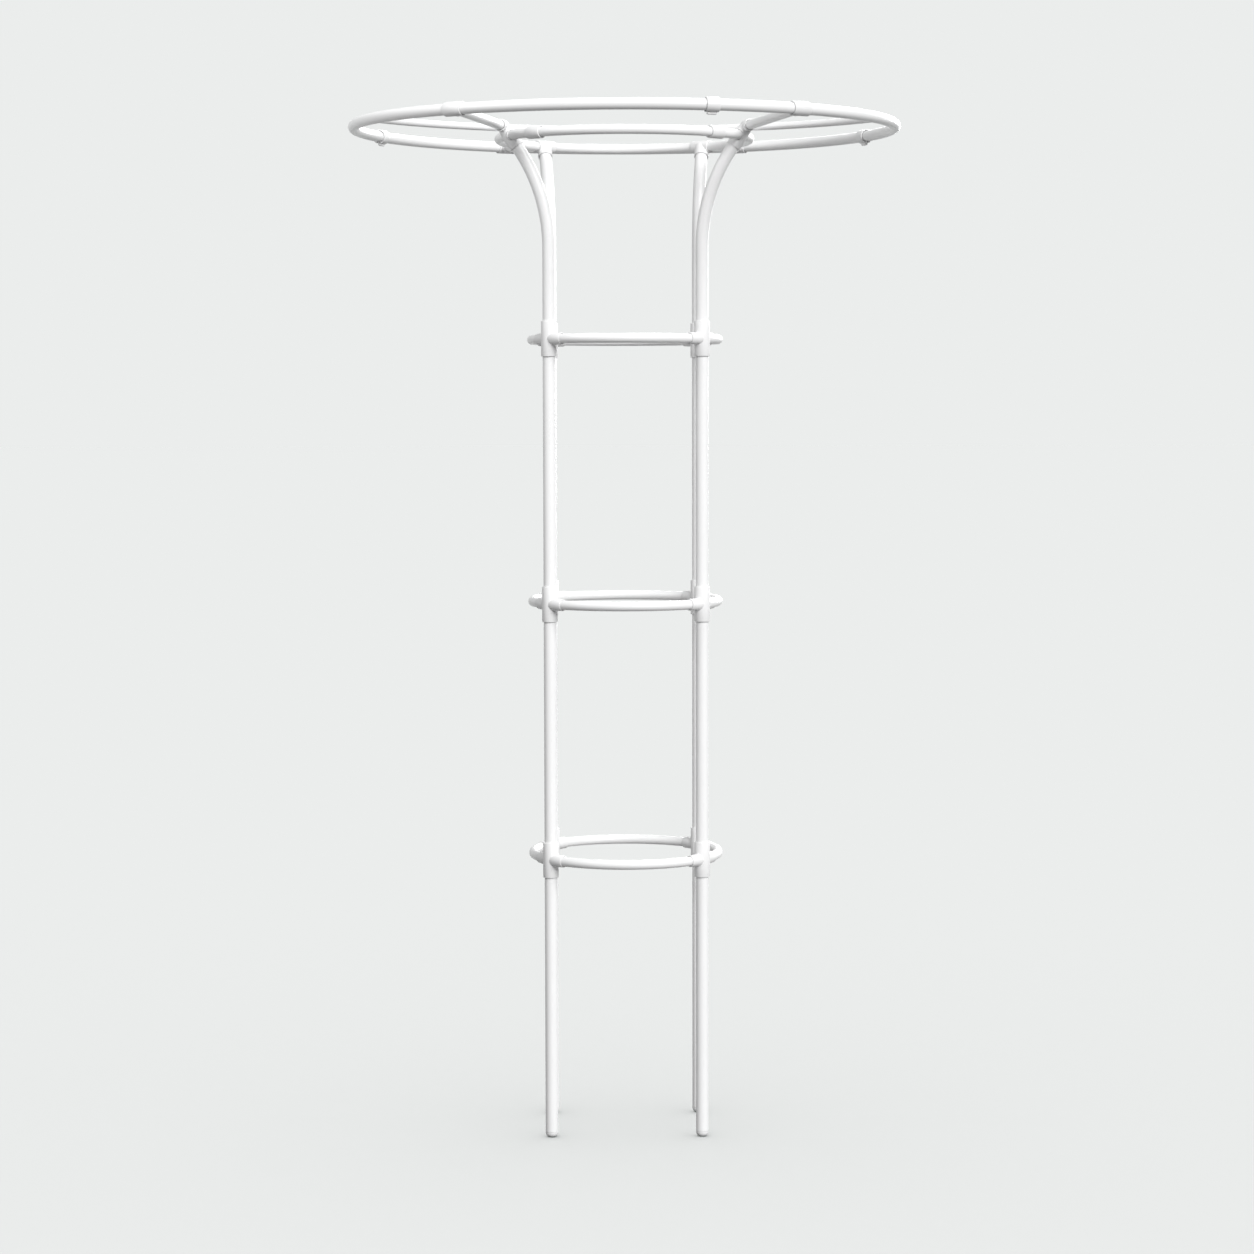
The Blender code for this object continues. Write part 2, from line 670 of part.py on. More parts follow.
def main():
    """Build the whole support."""
    clear_scene()
    tube = make_material("white_coated_tube", (0.93, 0.93, 0.93), 0.32)
    plastic = make_material("white_moulded_plastic", (0.91, 0.91, 0.91), 0.42)
    flares = {
        "front_right": Flare(POST_BEARING, ELBOW_BEARING),
        "rear_right": Flare(math.pi - POST_BEARING, INNER_TEE_BEARING),
        "rear_left": Flare(math.pi + POST_BEARING, 2 * math.pi - INNER_TEE_BEARING),
        "front_left": Flare(2 * math.pi - POST_BEARING, 2 * math.pi - ELBOW_BEARING),
    }
    make_posts(tube)
    make_post_tops(tube, flares)
    make_feet(plastic)
    make_connectors(plastic)
    make_column_rings(tube)
    make_outer_ring(tube)
    make_inner_ring(tube)
    make_inner_sleeves(plastic)
    make_head_elbows(plastic, flares)
    make_inner_tees(plastic, flares)
    make_spokes(tube, flares)
    make_outer_tees(plastic, flares)
    make_brace(tube)
    make_clips(plastic)


main()
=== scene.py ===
"""Finish of a double-ring plant support: smooth coated tubes, moulded fittings, a pale studio."""

import math

import bmesh
import bpy
from bpy.props import FloatProperty, FloatVectorProperty, PointerProperty
from mathutils import Euler, Matrix, Vector


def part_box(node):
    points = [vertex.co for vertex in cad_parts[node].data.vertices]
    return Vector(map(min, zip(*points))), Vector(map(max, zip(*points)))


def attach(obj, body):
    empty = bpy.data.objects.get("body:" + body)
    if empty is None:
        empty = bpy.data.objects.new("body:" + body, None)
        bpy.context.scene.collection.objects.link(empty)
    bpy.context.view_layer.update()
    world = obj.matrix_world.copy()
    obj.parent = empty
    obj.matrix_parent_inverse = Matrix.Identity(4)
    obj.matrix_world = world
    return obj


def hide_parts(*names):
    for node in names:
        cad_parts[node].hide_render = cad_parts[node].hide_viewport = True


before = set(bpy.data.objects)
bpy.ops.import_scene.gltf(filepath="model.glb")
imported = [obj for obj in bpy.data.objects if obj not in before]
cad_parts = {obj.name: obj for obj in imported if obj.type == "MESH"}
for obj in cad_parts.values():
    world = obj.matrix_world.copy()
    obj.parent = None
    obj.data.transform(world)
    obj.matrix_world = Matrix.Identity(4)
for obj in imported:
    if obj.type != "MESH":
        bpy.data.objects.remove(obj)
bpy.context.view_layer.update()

bl_info = {
    "name": "Plant Support Finish",
    "version": (1, 0, 0),
    "blender": (4, 5, 0),
    "location": "View3D > Sidebar > Plant Support",
    "description": "Models the coated tubes and moulded fittings of a double-ring plant support",
    "category": "Add Mesh",
}

UP = Vector((0, 0, 1))
SHADE_ANGLE = math.radians(35)
LEVELS = ("lower", "middle", "upper")
CORNERS = ("front_right", "rear_right", "rear_left", "front_left")
ARC_SIDES = ("front", "right", "rear", "left")
CLEARANCE = 0.0003
CLIP_CLEARANCE = 0.0008
TUBE_SIDES = 40
FITTING_SIDES = 48
BRACE_SIDES = 28
BALL_SIDES = 32
BALL_BANDS = 20
FINE_STEP = math.radians(2.5)
FLARE_STEPS = 28
DOME_STEPS = 12
TAB_ROUND_STEPS = 4
# how far along its lip a rounded mouth has a section
LIP_STEPS = (0.0, 0.35, 1.0)
SAME_POINT = 1e-6

# the white surfaces
CLOUD_SCALE = 14.0
NOISE_RANGE = (0.3, 0.7)
ROUGHNESS_SPREAD = 1.18
RELIEF_DEPTH = 0.0002
COAT_ROUGHNESS = 0.2
FOOT_SHADE = 0.985

# the camera, in pixels of the photograph, metres and radians
PHOTO_SIDE = 1254
SENSOR_WIDTH = 36.0
FOCAL_PIXELS = 3200.0
CAMERA_DISTANCE = 4.0782
CAMERA_HEIGHT = 0.9333
CAMERA_PITCH = 0.0710
CAMERA_ROLL = -0.0022
CAMERA_YAW = 0.012
CAMERA_SHIFT = -1.6

# the floor and the lamps
SKY_LIGHT = 0.34
FLOOR_HALF = 60.0
FLOOR_DROP = 0.0002
FLOOR_TONE = 0.08
FLOOR_SEEN_TONE = 0.35
# strength, softness, azimuth from the front towards the right, elevation
KEY = (2.9, math.radians(32), math.radians(31), math.radians(31))
REAR = (2.1, math.radians(45), math.radians(158), math.radians(17))
FLOOR_LAMP = (5.5, math.radians(120), 0.0, math.radians(90))
SOFTBOX_POWER = 3.7
SOFTBOX_SIZE = 0.6
SOFTBOX_PLACE = Vector((-0.92, -0.64, 1.62))
SOFTBOX_AIM = Vector((-0.20, 0.0, 1.27))


def middle_height(node):
    """Height of the middle of a CAD node."""
    low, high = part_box(node)
    return (low.z + high.z) / 2


def thickness(node):
    """How thick a level CAD bar is."""
    low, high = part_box(node)
    return high.z - low.z


class SupportSizes(bpy.types.PropertyGroup):
    """Sizes of the tubes, the rings and the fittings."""

    post_tube: FloatProperty(
        name="Post tube", description="Outer diameter of the posts", unit="LENGTH",
        default=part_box("post_front_right")[1].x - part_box("post_front_right")[0].x,
    )
    ring_tube: FloatProperty(
        name="Ring tube", description="Outer diameter of the column and inner rings",
        unit="LENGTH", default=0.012,
    )
    outer_tube: FloatProperty(
        name="Outer ring tube", description="Outer diameter of the wide ring",
        unit="LENGTH", default=0.014,
    )
    spoke_tube: FloatProperty(
        name="Spoke tube", description="Outer diameter of the spokes",
        unit="LENGTH", default=0.012,
    )
    brace_tube: FloatProperty(
        name="Brace tube", description="Outer diameter of the slim bow",
        unit="LENGTH", default=0.009,
    )
    column_radius: FloatProperty(
        name="Column ring radius", description="Axis to the middle of the column rings' bar",
        unit="LENGTH", default=0.118,
    )
    inner_radius: FloatProperty(
        name="Inner ring radius", description="Axis to the middle of the inner ring's bar",
        unit="LENGTH", default=0.158,
    )
    outer_radius: FloatProperty(
        name="Outer ring radius", description="Axis to the middle of the wide ring's bar",
        unit="LENGTH", default=0.341,
    )
    bend_height: FloatProperty(
        name="Bend height", description="Where the posts start to flare",
        unit="LENGTH", default=1.122,
    )
    post_bearing: FloatProperty(
        name="Post bearing", description="Angle of the front right post from the front",
        subtype="ANGLE", default=math.radians(54.0),
    )
    elbow_bearing: FloatProperty(
        name="Elbow bearing", description="Angle of the front right elbow from the front",
        subtype="ANGLE", default=math.radians(65.5),
    )
    inner_tee_bearing: FloatProperty(
        name="Inner tee bearing", description="Angle of the rear right tee from the front",
        subtype="ANGLE", default=math.radians(139.5),
    )
    inner_sleeve_bearing: FloatProperty(
        name="Inner sleeve bearing", description="Angle of the right ring sleeve from the front",
        subtype="ANGLE", default=math.radians(44.5),
    )
    front_tee_bearing: FloatProperty(
        name="Front tee bearing", description="Angle of the front right outer tee from the front",
        subtype="ANGLE", default=math.radians(36.6),
    )
    rear_tee_bearing: FloatProperty(
        name="Rear tee bearing", description="Angle of the rear right outer tee from the rear",
        subtype="ANGLE", default=math.radians(27.4),
    )
    brace_bearing: FloatProperty(
        name="Brace bearing", description="Angle of the bow's right end from the front",
        subtype="ANGLE", default=math.radians(65.0),
    )
    brace_back: FloatProperty(
        name="Brace middle", description="How far behind the axis the bow's middle lies",
        unit="LENGTH", default=0.022,
    )
    clip_bearing: FloatProperty(
        name="Front clip bearing", description="Angle of the front clip from the front",
        subtype="ANGLE", default=math.radians(16.7),
    )
    side_clip_bearing: FloatProperty(
        name="Side clip bearing", description="Angle of the right clip from the front",
        subtype="ANGLE", default=math.radians(112.5),
    )
    lip: FloatProperty(
        name="Edge radius", description="Rounding of the moulded mouths",
        unit="LENGTH", default=0.0004,
    )
    lead_in: FloatProperty(
        name="Lead-in", description="Chamfer inside the moulded mouths",
        unit="LENGTH", default=0.0005,
    )


class SupportColours(bpy.types.PropertyGroup):
    """Colours of the coating, the mouldings and the studio."""

    coat: FloatVectorProperty(
        name="Coating", description="White coating of the tubes", subtype="COLOR",
        size=3, default=(0.93, 0.93, 0.932),
    )
    moulding: FloatVectorProperty(
        name="Moulding", description="White of the moulded fittings", subtype="COLOR",
        size=3, default=(0.905, 0.905, 0.907),
    )
    backdrop: FloatVectorProperty(
        name="Backdrop", description="Pale grey behind and under the support", subtype="COLOR",
        size=3, default=(0.832, 0.847, 0.840),
    )


def bearing(angle, radius, height):
    """The point at this bearing from the front, distance from the axis and height."""
    return Vector((math.sin(angle) * radius, -math.cos(angle) * radius, height))


def ring_way(angle):
    """Direction of a level ring at this bearing."""
    return Vector((math.cos(angle), math.sin(angle), 0))


def mirrored(angle, side):
    """The same bearing on the right (side 1) or the left (side -1)."""
    return angle if side > 0 else 2 * math.pi - angle


def section_matrix(centre, way, normal, radius):
    """Place a unit circle square to a direction."""
    along = way.normalized()
    side = (normal - along * normal.dot(along)).normalized()
    other = along.cross(side)
    columns = Matrix((side * radius, other * radius, along)).transposed()
    return Matrix.Translation(centre) @ columns.to_4x4()


def path_ways(points):
    """Direction at each point of a path, mitred at its inner points."""
    steps = [(b - a).normalized() for a, b in zip(points, points[1:])]
    inner = [(a + b).normalized() for a, b in zip(steps, steps[1:])]
    return [steps[0], *inner, steps[-1]]


def bar(points, radii, normal=UP, sides=TUBE_SIDES, ways=None):
    """A round bar through the points: one circle, extruded from station to station."""
    if not isinstance(radii, (list, tuple)):
        radii = [radii] * len(points)
    sections = [
        section_matrix(point, way, normal, radius)
        for point, way, radius in zip(points, ways or path_ways(points), radii)
    ]
    bm = bmesh.new()
    bmesh.ops.create_circle(bm, cap_ends=True, radius=1.0, segments=sides, matrix=sections[0])
    loop = bm.edges[:]
    for before, after in zip(sections, sections[1:]):
        made = bmesh.ops.extrude_edge_only(bm, edges=loop)["geom"]
        fresh = [item for item in made if isinstance(item, bmesh.types.BMVert)]
        loop = [
            item for item in made
            if isinstance(item, bmesh.types.BMEdge) and all(vert in fresh for vert in item.verts)
        ]
        bmesh.ops.transform(bm, matrix=after @ before.inverted(), verts=fresh)
    bmesh.ops.edgeloop_fill(bm, edges=loop)
    bmesh.ops.recalc_face_normals(bm, faces=bm.faces[:])
    return bm


def ring_bar(radius, height, bearings, radii, sides=TUBE_SIDES):
    """A bar along a level circle, square to the circle everywhere."""
    points = [bearing(angle, radius, height) for angle in bearings]
    return bar(points, radii, UP, sides, [ring_way(angle) for angle in bearings])


def straight_bar(start, way, stops, radii, normal=UP, sides=FITTING_SIDES):
    """A straight bar with a radius at each distance along a direction."""
    along = way.normalized()
    return bar([start + along * stop for stop in stops], radii, normal, sides)


def fine(start, stop):
    """Bearings from one to the other in fine, even steps."""
    count = max(2, math.ceil((stop - start) / FINE_STEP))
    return [start + (stop - start) * index / count for index in range(count + 1)]


def arc_spans(front, rear):
    """Side, first and last bearing of a ring's four arcs, from its joints' angles."""
    joints = (-front, front, math.pi - rear, math.pi + rear, 2 * math.pi - front)
    return zip(ARC_SIDES, joints, joints[1:])


def lip_drop(step, lip):
    """How much thinner a rounded mouth is at this share of its lip."""
    return lip * (1 - math.sqrt(1 - (1 - step) ** 2))


def rounded(reach, radius, lip):
    """Stops and radii of a sleeve with rounded mouths, from -reach to reach."""
    edge = [(lip * step, radius - lip_drop(step, lip)) for step in LIP_STEPS]
    stops = [along - reach for along, _ in edge] + [reach - along for along, _ in reversed(edge)]
    radii = [across for _, across in edge] + [across for _, across in reversed(edge)]
    return stops, radii


def rounded_end(start, reach, root, tip, lip):
    """Stops and radii of a socket that tapers from its root to a rounded mouth."""
    stops = [start] + [reach - lip * step for step in reversed(LIP_STEPS)]
    radii = [root] + [tip - lip_drop(step, lip) for step in reversed(LIP_STEPS)]
    return stops, radii


def mouth(bore_r, face, lip, lead_in):
    """Last stops and radii of a bore that opens with a small chamfer at a face."""
    return [face - lead_in, face + lip], [bore_r, bore_r + lead_in + lip]


def ring_sleeve(radius, height, centre, half, sleeve_r, bore_r, sizes):
    """Blank and bore of a sleeve round a level ring."""
    lip = sizes.lip
    stops, radii = rounded(half, sleeve_r, lip)
    middle = len(stops) // 2
    stops.insert(middle, 0.0)
    radii.insert(middle, sleeve_r)
    bearings = [centre + stop / radius for stop in stops]
    blank = ring_bar(radius, height, bearings, radii, FITTING_SIDES)
    stops, radii = mouth(bore_r, half, lip, sizes.lead_in)
    stops = [-stop for stop in reversed(stops)] + [0.0] + stops
    radii = radii[::-1] + [bore_r] + radii
    bearings = [centre + stop / radius for stop in stops]
    return blank, ring_bar(radius, height, bearings, radii, FITTING_SIDES)


def shade(mesh):
    """Shade a mesh smooth except at its real edges."""
    mesh.shade_smooth()
    mesh.set_sharp_from_angle(angle=SHADE_ANGLE)
    return mesh


def to_mesh(bm, name):
    """Hand a bmesh over as a shaded mesh."""
    mesh = bpy.data.meshes.new(name)
    bm.to_mesh(mesh)
    bm.free()
    return shade(mesh)


def combine(name, solids, cutters):
    """Join the solids into one body, then cut the cutters out of it."""
    body = bpy.data.objects.new(name, to_mesh(solids[0], name))
    bpy.context.scene.collection.objects.link(body)
    helpers = []
    tools = [(solid, "UNION") for solid in solids[1:]]
    tools += [(cutter, "DIFFERENCE") for cutter in cutters]
    for solid, operation in tools:
        helper = bpy.data.objects.new(name + "_tool", to_mesh(solid, name + "_tool"))
        bpy.context.scene.collection.objects.link(helper)
        helpers.append(helper)
        cut = body.modifiers.new(operation.lower(), "BOOLEAN")
        cut.operation = operation
        cut.solver = "EXACT"
        cut.object = helper
    bpy.context.view_layer.update()
    depsgraph = bpy.context.evaluated_depsgraph_get()
    mesh = bpy.data.meshes.new_from_object(body.evaluated_get(depsgraph))
    for item in [*helpers, body]:
        bpy.data.objects.remove(item, do_unlink=True)
    return shade(mesh)


def finish_piece(node, mesh, material, slot, body="frame"):
    """Put one finished piece in place of its CAD node."""
    mesh.materials.clear()
    mesh.materials.append(material)
    piece = bpy.data.objects.new(f"{node}_{slot}", mesh)
    bpy.context.scene.collection.objects.link(piece)
    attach(piece, body)
    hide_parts(node)
    return piece


def moved(mesh, offset=(0, 0, 0), turn=0.0):
    """A copy of a mesh, turned about the support's axis and shifted."""
    copy = mesh.copy()
    copy.transform(Matrix.Translation(offset) @ Matrix.Rotation(turn, 4, "Z"))
    return copy


def stop_short(tube_r, bar_r, way, angle):
    """How far from a ring's centre line a bar that meets it has to end."""
    slant = math.asin(abs(way.normalized().dot(ring_way(angle))))
    return tube_r / math.cos(slant) + bar_r * math.tan(slant) + 2 * CLEARANCE


class Layout:
    """Places that follow from the sizes and from the frame."""

    SOCKET = 0.017
    SOCKET_WALL = 0.0010
    SOCKET_WEB = 0.0016
    CROWN_RISE = 0.014
    CROWN_BULGE = 0.0003
    SPOKE_STOP = 0.0095
    SPOKE_COLLAR = 0.0155
    COLLAR_WALL = 0.0013
    SLEEVE_WALL = 0.0017
    OUTER_TEE_WALL = 0.0014
    CLIP_WALL = 0.0012
    RING_COLLAR_HALF = 0.0095
    INNER_TEE_HALF = 0.014
    OUTER_TEE_HALF = 0.0125
    SLEEVE_HALF = 0.011
    CLIP_HALF = 0.008
    CONNECTOR_WALL = 0.0016
    STUB_REACH = 0.0150
    STUB_WALL = 0.0010
    STUB_TAPER = 0.0005
    BRACE_COPE_REACH = 0.027
    TAB_WIDTH = 0.012
    TAB_THICKNESS = 0.0032
    TAB_ROUND = 0.0015
    FOOT_FLAT_RADIUS = 0.003
    FOOT_BAND = 0.0007
    FOOT_CONE = 0.002

    def __init__(self, sizes):
        self.sizes = sizes
        self.post_r = sizes.post_tube / 2
        self.ring_r = sizes.ring_tube / 2
        self.outer_r = sizes.outer_tube / 2
        self.spoke_r = sizes.spoke_tube / 2
        self.levels = {level: middle_height(f"ring_{level}_front") for level in LEVELS}
        self.inner_z = middle_height("inner_ring_front")
        self.outer_z = middle_height("outer_ring_front")
        post = sizes.post_bearing
        self.posts = dict(zip(CORNERS, (post, math.pi - post, math.pi + post, 2 * math.pi - post)))
        self.connector_r = self.post_r + CLEARANCE + self.CONNECTOR_WALL
        self.stub_mouth = self.connector_r + self.STUB_REACH
        self.stub_r = self.ring_r + CLEARANCE + self.STUB_WALL
        self.collar_r = self.spoke_r + CLEARANCE + self.COLLAR_WALL
        self.post_collar_r = self.post_r + CLEARANCE + self.SOCKET_WALL
        self.socket_start = self.post_r + CLEARANCE + self.SOCKET_WEB

    def side(self, corner):
        """1 on the right, -1 on the left."""
        return 1 if corner.endswith("right") else -1

    def flare_bearing(self, corner):
        """Where on the inner ring this post's top ends."""
        front = corner.startswith("front")
        angle = self.sizes.elbow_bearing if front else self.sizes.inner_tee_bearing
        return mirrored(angle, self.side(corner))

    def outer_bearing(self, corner):
        """Where on the outer ring this corner's spoke ends."""
        front = corner.startswith("front")
        angle = self.sizes.front_tee_bearing if front else math.pi - self.sizes.rear_tee_bearing
        return mirrored(angle, self.side(corner))


class Flare:
    """The bent top of a post: straight up, one round bend, then straight into its fitting."""

    def __init__(self, layout, corner):
        sizes = layout.sizes
        self.foot = bearing(layout.posts[corner], sizes.column_radius, sizes.bend_height)
        self.end_bearing = layout.flare_bearing(corner)
        self.end = bearing(self.end_bearing, sizes.inner_radius, layout.inner_z)
        run = Vector((self.end.x - self.foot.x, self.end.y - self.foot.y, 0))
        outward = run.normalized()
        self.outward = outward
        self.normal = UP.cross(outward)
        rise = layout.inner_z - sizes.bend_height
        self.angle = 2 * math.atan(run.length / (rise + layout.SOCKET))
        self.bend_radius = (rise - layout.SOCKET * math.cos(self.angle)) / math.sin(self.angle)
        self.way = outward * math.sin(self.angle) + UP * math.cos(self.angle)
        self.stop = stop_short(layout.ring_r, layout.post_r, self.way, self.end_bearing)
        self.crown = self.end + self.way * layout.CROWN_RISE

    def path(self, bottom_z):
        """Centre line from a height up to the stop under the ring."""
        points = [Vector((self.foot.x, self.foot.y, bottom_z))]
        for index in range(FLARE_STEPS + 1):
            turn = self.angle * index / FLARE_STEPS
            out = self.outward * self.bend_radius * (1 - math.cos(turn))
            points.append(self.foot + out + UP * self.bend_radius * math.sin(turn))
        points.append(self.end - self.way * self.stop)
        return points


class Spoke:
    """A spoke's line from its inner fitting to its outer tee, and where it stops in them."""

    def __init__(self, layout, corner, flare):
        angle = layout.outer_bearing(corner)
        front = corner.startswith("front")
        self.inner = flare.crown if front else flare.end
        self.outer = bearing(angle, layout.sizes.outer_radius, layout.outer_z)
        self.way = self.outer - self.inner
        self.outer_stop = stop_short(layout.outer_r, layout.spoke_r, self.way, angle)
        self.inner_stop = layout.SPOKE_STOP
        if not front:
            self.inner_stop = stop_short(layout.ring_r, layout.spoke_r, self.way, flare.end_bearing)

    def socket(self, layout, from_outer, lip):
        """Blank and bore of the socket at one end."""
        start = self.outer if from_outer else self.inner
        way = -self.way if from_outer else self.way
        stop = self.outer_stop if from_outer else self.inner_stop
        reach = layout.SPOKE_COLLAR
        stops, radii = rounded_end(0.0, reach, layout.collar_r, layout.collar_r, lip)
        blank = straight_bar(start, way, stops, radii)
        bore_r = layout.spoke_r + CLEARANCE
        stops, radii = mouth(bore_r, reach, lip, layout.sizes.lead_in)
        return blank, straight_bar(start, way, [stop - CLEARANCE, *stops], [bore_r, *radii])


def post_socket_bore(layout, flare, lip):
    """The hole for a post's bent top."""
    bore_r = layout.post_r + CLEARANCE
    stops, radii = mouth(bore_r, layout.SOCKET, lip, layout.sizes.lead_in)
    stops.insert(0, flare.stop - CLEARANCE)
    return straight_bar(flare.end, -flare.way, stops, [bore_r, *radii], flare.normal)


def link_nodes(tree, *pairs):
    """Connect sockets two by two."""
    for source, target in pairs:
        tree.links.new(source, target)


def surface_group():
    """Shared surface detail: faint tone change, roughness change and a fine skin relief."""
    group = bpy.data.node_groups.new("support_surface", "ShaderNodeTree")
    face = group.interface
    face.new_socket("Tint", in_out="INPUT", socket_type="NodeSocketColor")
    settings = (("Tone", 0.03), ("Grain size", 900.0), ("Relief", 0.05), ("Roughness", 0.35))
    for name, value in settings:
        face.new_socket(name, in_out="INPUT", socket_type="NodeSocketFloat").default_value = value
    face.new_socket("Tint", in_out="OUTPUT", socket_type="NodeSocketColor")
    face.new_socket("Roughness", in_out="OUTPUT", socket_type="NodeSocketFloat")
    face.new_socket("Normal", in_out="OUTPUT", socket_type="NodeSocketVector")
    nodes = group.nodes
    entry = nodes.new("NodeGroupInput")
    leave = nodes.new("NodeGroupOutput")
    place = nodes.new("ShaderNodeTexCoord")
    cloud = nodes.new("ShaderNodeTexNoise")
    cloud.inputs["Scale"].default_value = CLOUD_SCALE
    cloud.inputs["Detail"].default_value = 3.0
    grain = nodes.new("ShaderNodeTexNoise")
    grain.inputs["Detail"].default_value = 2.0
    tone = nodes.new("ShaderNodeMapRange")
    lower = nodes.new("ShaderNodeMath")
    lower.operation = "SUBTRACT"
    lower.inputs[0].default_value = 1.0
    tint = nodes.new("ShaderNodeVectorMath")
    tint.operation = "SCALE"
    rough = nodes.new("ShaderNodeMapRange")
    for spread in (tone, rough):
        spread.inputs["From Min"].default_value = NOISE_RANGE[0]
        spread.inputs["From Max"].default_value = NOISE_RANGE[1]
    softer = nodes.new("ShaderNodeMath")
    softer.operation = "MULTIPLY"
    softer.inputs[1].default_value = ROUGHNESS_SPREAD
    relief = nodes.new("ShaderNodeBump")
    relief.inputs["Distance"].default_value = RELIEF_DEPTH
    link_nodes(
        group,
        (place.outputs["Object"], cloud.inputs["Vector"]),
        (place.outputs["Object"], grain.inputs["Vector"]),
        (entry.outputs["Grain size"], grain.inputs["Scale"]),
        (cloud.outputs["Fac"], tone.inputs["Value"]),
        (entry.outputs["Tone"], lower.inputs[1]),
        (lower.outputs["Value"], tone.inputs["To Min"]),
        (entry.outputs["Tint"], tint.inputs[0]),
        (tone.outputs["Result"], tint.inputs["Scale"]),
        (cloud.outputs["Fac"], rough.inputs["Value"]),
        (entry.outputs["Roughness"], rough.inputs["To Min"]),
        (entry.outputs["Roughness"], softer.inputs[0]),
        (softer.outputs["Value"], rough.inputs["To Max"]),
        (grain.outputs["Fac"], relief.inputs["Height"]),
        (entry.outputs["Relief"], relief.inputs["Strength"]),
        (tint.outputs["Vector"], leave.inputs["Tint"]),
        (rough.outputs["Result"], leave.inputs["Roughness"]),
        (relief.outputs["Normal"], leave.inputs["Normal"]),
    )
    return group


def finish_material(name, colour, tone, grain, relief, roughness, specular, coat):
    """A white surface that takes its detail from the shared group."""
    known = bpy.data.materials.get(name)
    if known:
        return known
    group = bpy.data.node_groups.get("support_surface") or surface_group()
    material = bpy.data.materials.new(name)
    material.use_nodes = True
    tree = material.node_tree
    shader = tree.nodes["Principled BSDF"]
    detail = tree.nodes.new("ShaderNodeGroup")
    detail.node_tree = group
    detail.inputs["Tint"].default_value = (*colour, 1.0)
    detail.inputs["Tone"].default_value = tone
    detail.inputs["Grain size"].default_value = grain
    detail.inputs["Relief"].default_value = relief
    detail.inputs["Roughness"].default_value = roughness
    shader.inputs["Specular IOR Level"].default_value = specular
    shader.inputs["Coat Weight"].default_value = coat
    shader.inputs["Coat Roughness"].default_value = COAT_ROUGHNESS
    link_nodes(
        tree,
        (detail.outputs["Tint"], shader.inputs["Base Color"]),
        (detail.outputs["Roughness"], shader.inputs["Roughness"]),
        (detail.outputs["Normal"], shader.inputs["Normal"]),
    )
    return material


def coat_material():
    """Smooth white coating over steel tube, with a trace of orange peel."""
    colour = bpy.context.scene.support_colours.coat
    return finish_material(
        "white_tube_coating", colour, tone=0.02, grain=520.0, relief=0.10,
        roughness=0.30, specular=0.45, coat=0.15,
    )


def moulding_material():
    """Satin white plastic with a fine moulded grain."""
    colour = bpy.context.scene.support_colours.moulding
    return finish_material(
        "white_moulded_fitting", colour, tone=0.035, grain=1600.0, relief=0.16,
        roughness=0.42, specular=0.40, coat=0.0,
    )


def foot_material():
    """The same plastic, a little duller where it meets the ground."""
    colour = [channel * FOOT_SHADE for channel in bpy.context.scene.support_colours.moulding]
    return finish_material(
        "white_foot_plug", colour, tone=0.06, grain=1300.0, relief=0.18,
        roughness=0.50, specular=0.35, coat=0.0,
    )


def clip_material():
    """Smooth plastic of the sliding clips."""
    colour = bpy.context.scene.support_colours.moulding
    return finish_material(
        "white_sliding_clip", colour, tone=0.03, grain=1100.0, relief=0.12,
        roughness=0.36, specular=0.42, coat=0.05,
    )


def scene_layout():
    """The layout for the sizes set in the scene."""
    return Layout(bpy.context.scene.support_sizes)


def scene_flares(layout):
    """The four flares by corner."""
    return {corner: Flare(layout, corner) for corner in CORNERS}


class SUPPORT_OT_posts(bpy.types.Operator):
    """Model the four straight posts"""

    bl_idname = "support.posts"
    bl_label = "Posts"

    def execute(self, context):
        layout = scene_layout()
        radius = layout.sizes.column_radius
        for corner, angle in layout.posts.items():
            node = "post_" + corner
            low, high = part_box(node)
            ends = [bearing(angle, radius, height) for height in (low.z, high.z)]
            mesh = to_mesh(bar(ends, layout.post_r, Vector((1, 0, 0))), node)
            finish_piece(node, mesh, coat_material(), "coated_tube")
        return {"FINISHED"}


class SUPPORT_OT_post_tops(bpy.types.Operator):
    """Model the four bent post tops"""

    bl_idname = "support.post_tops"
    bl_label = "Post tops"

    def execute(self, context):
        layout = scene_layout()
        for corner, flare in scene_flares(layout).items():
            node = "post_top_" + corner
            mesh = to_mesh(bar(flare.path(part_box(node)[0].z), layout.post_r, flare.normal), node)
            finish_piece(node, mesh, coat_material(), "coated_tube")
        return {"FINISHED"}


class SUPPORT_OT_feet(bpy.types.Operator):
    """Model the four domed foot plugs"""

    bl_idname = "support.feet"
    bl_label = "Foot plugs"

    def execute(self, context):
        layout = scene_layout()
        flat = layout.FOOT_FLAT_RADIUS
        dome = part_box("post_front_right")[0].z - CLEARANCE
        profile = [(0.0, 0.0)]
        for index in range(DOME_STEPS + 1):
            turn = math.pi / 2 * index / DOME_STEPS
            radius = flat + (layout.post_r - flat) * math.sin(turn)
            profile.append((radius, (dome - layout.FOOT_BAND) * (1 - math.cos(turn))))
        cone = layout.FOOT_CONE
        profile += [(layout.post_r, dome), (layout.post_r - cone, dome), (0.0, dome + cone)]
        bm = bmesh.new()
        verts = [bm.verts.new((radius, 0, height)) for radius, height in profile]
        edges = [bm.edges.new(pair) for pair in zip(verts, verts[1:])]
        bmesh.ops.spin(
            bm, geom=verts + edges, axis=UP, cent=(0, 0, 0), angle=2 * math.pi,
            steps=TUBE_SIDES, use_merge=True,
        )
        bmesh.ops.remove_doubles(bm, verts=bm.verts[:], dist=SAME_POINT)
        bmesh.ops.recalc_face_normals(bm, faces=bm.faces[:])
        plug = to_mesh(bm, "foot_plug")
        for corner, angle in layout.posts.items():
            mesh = moved(plug, bearing(angle, layout.sizes.column_radius, 0.0))
            finish_piece("foot_plug_" + corner, mesh, foot_material(), "foot")
        return {"FINISHED"}


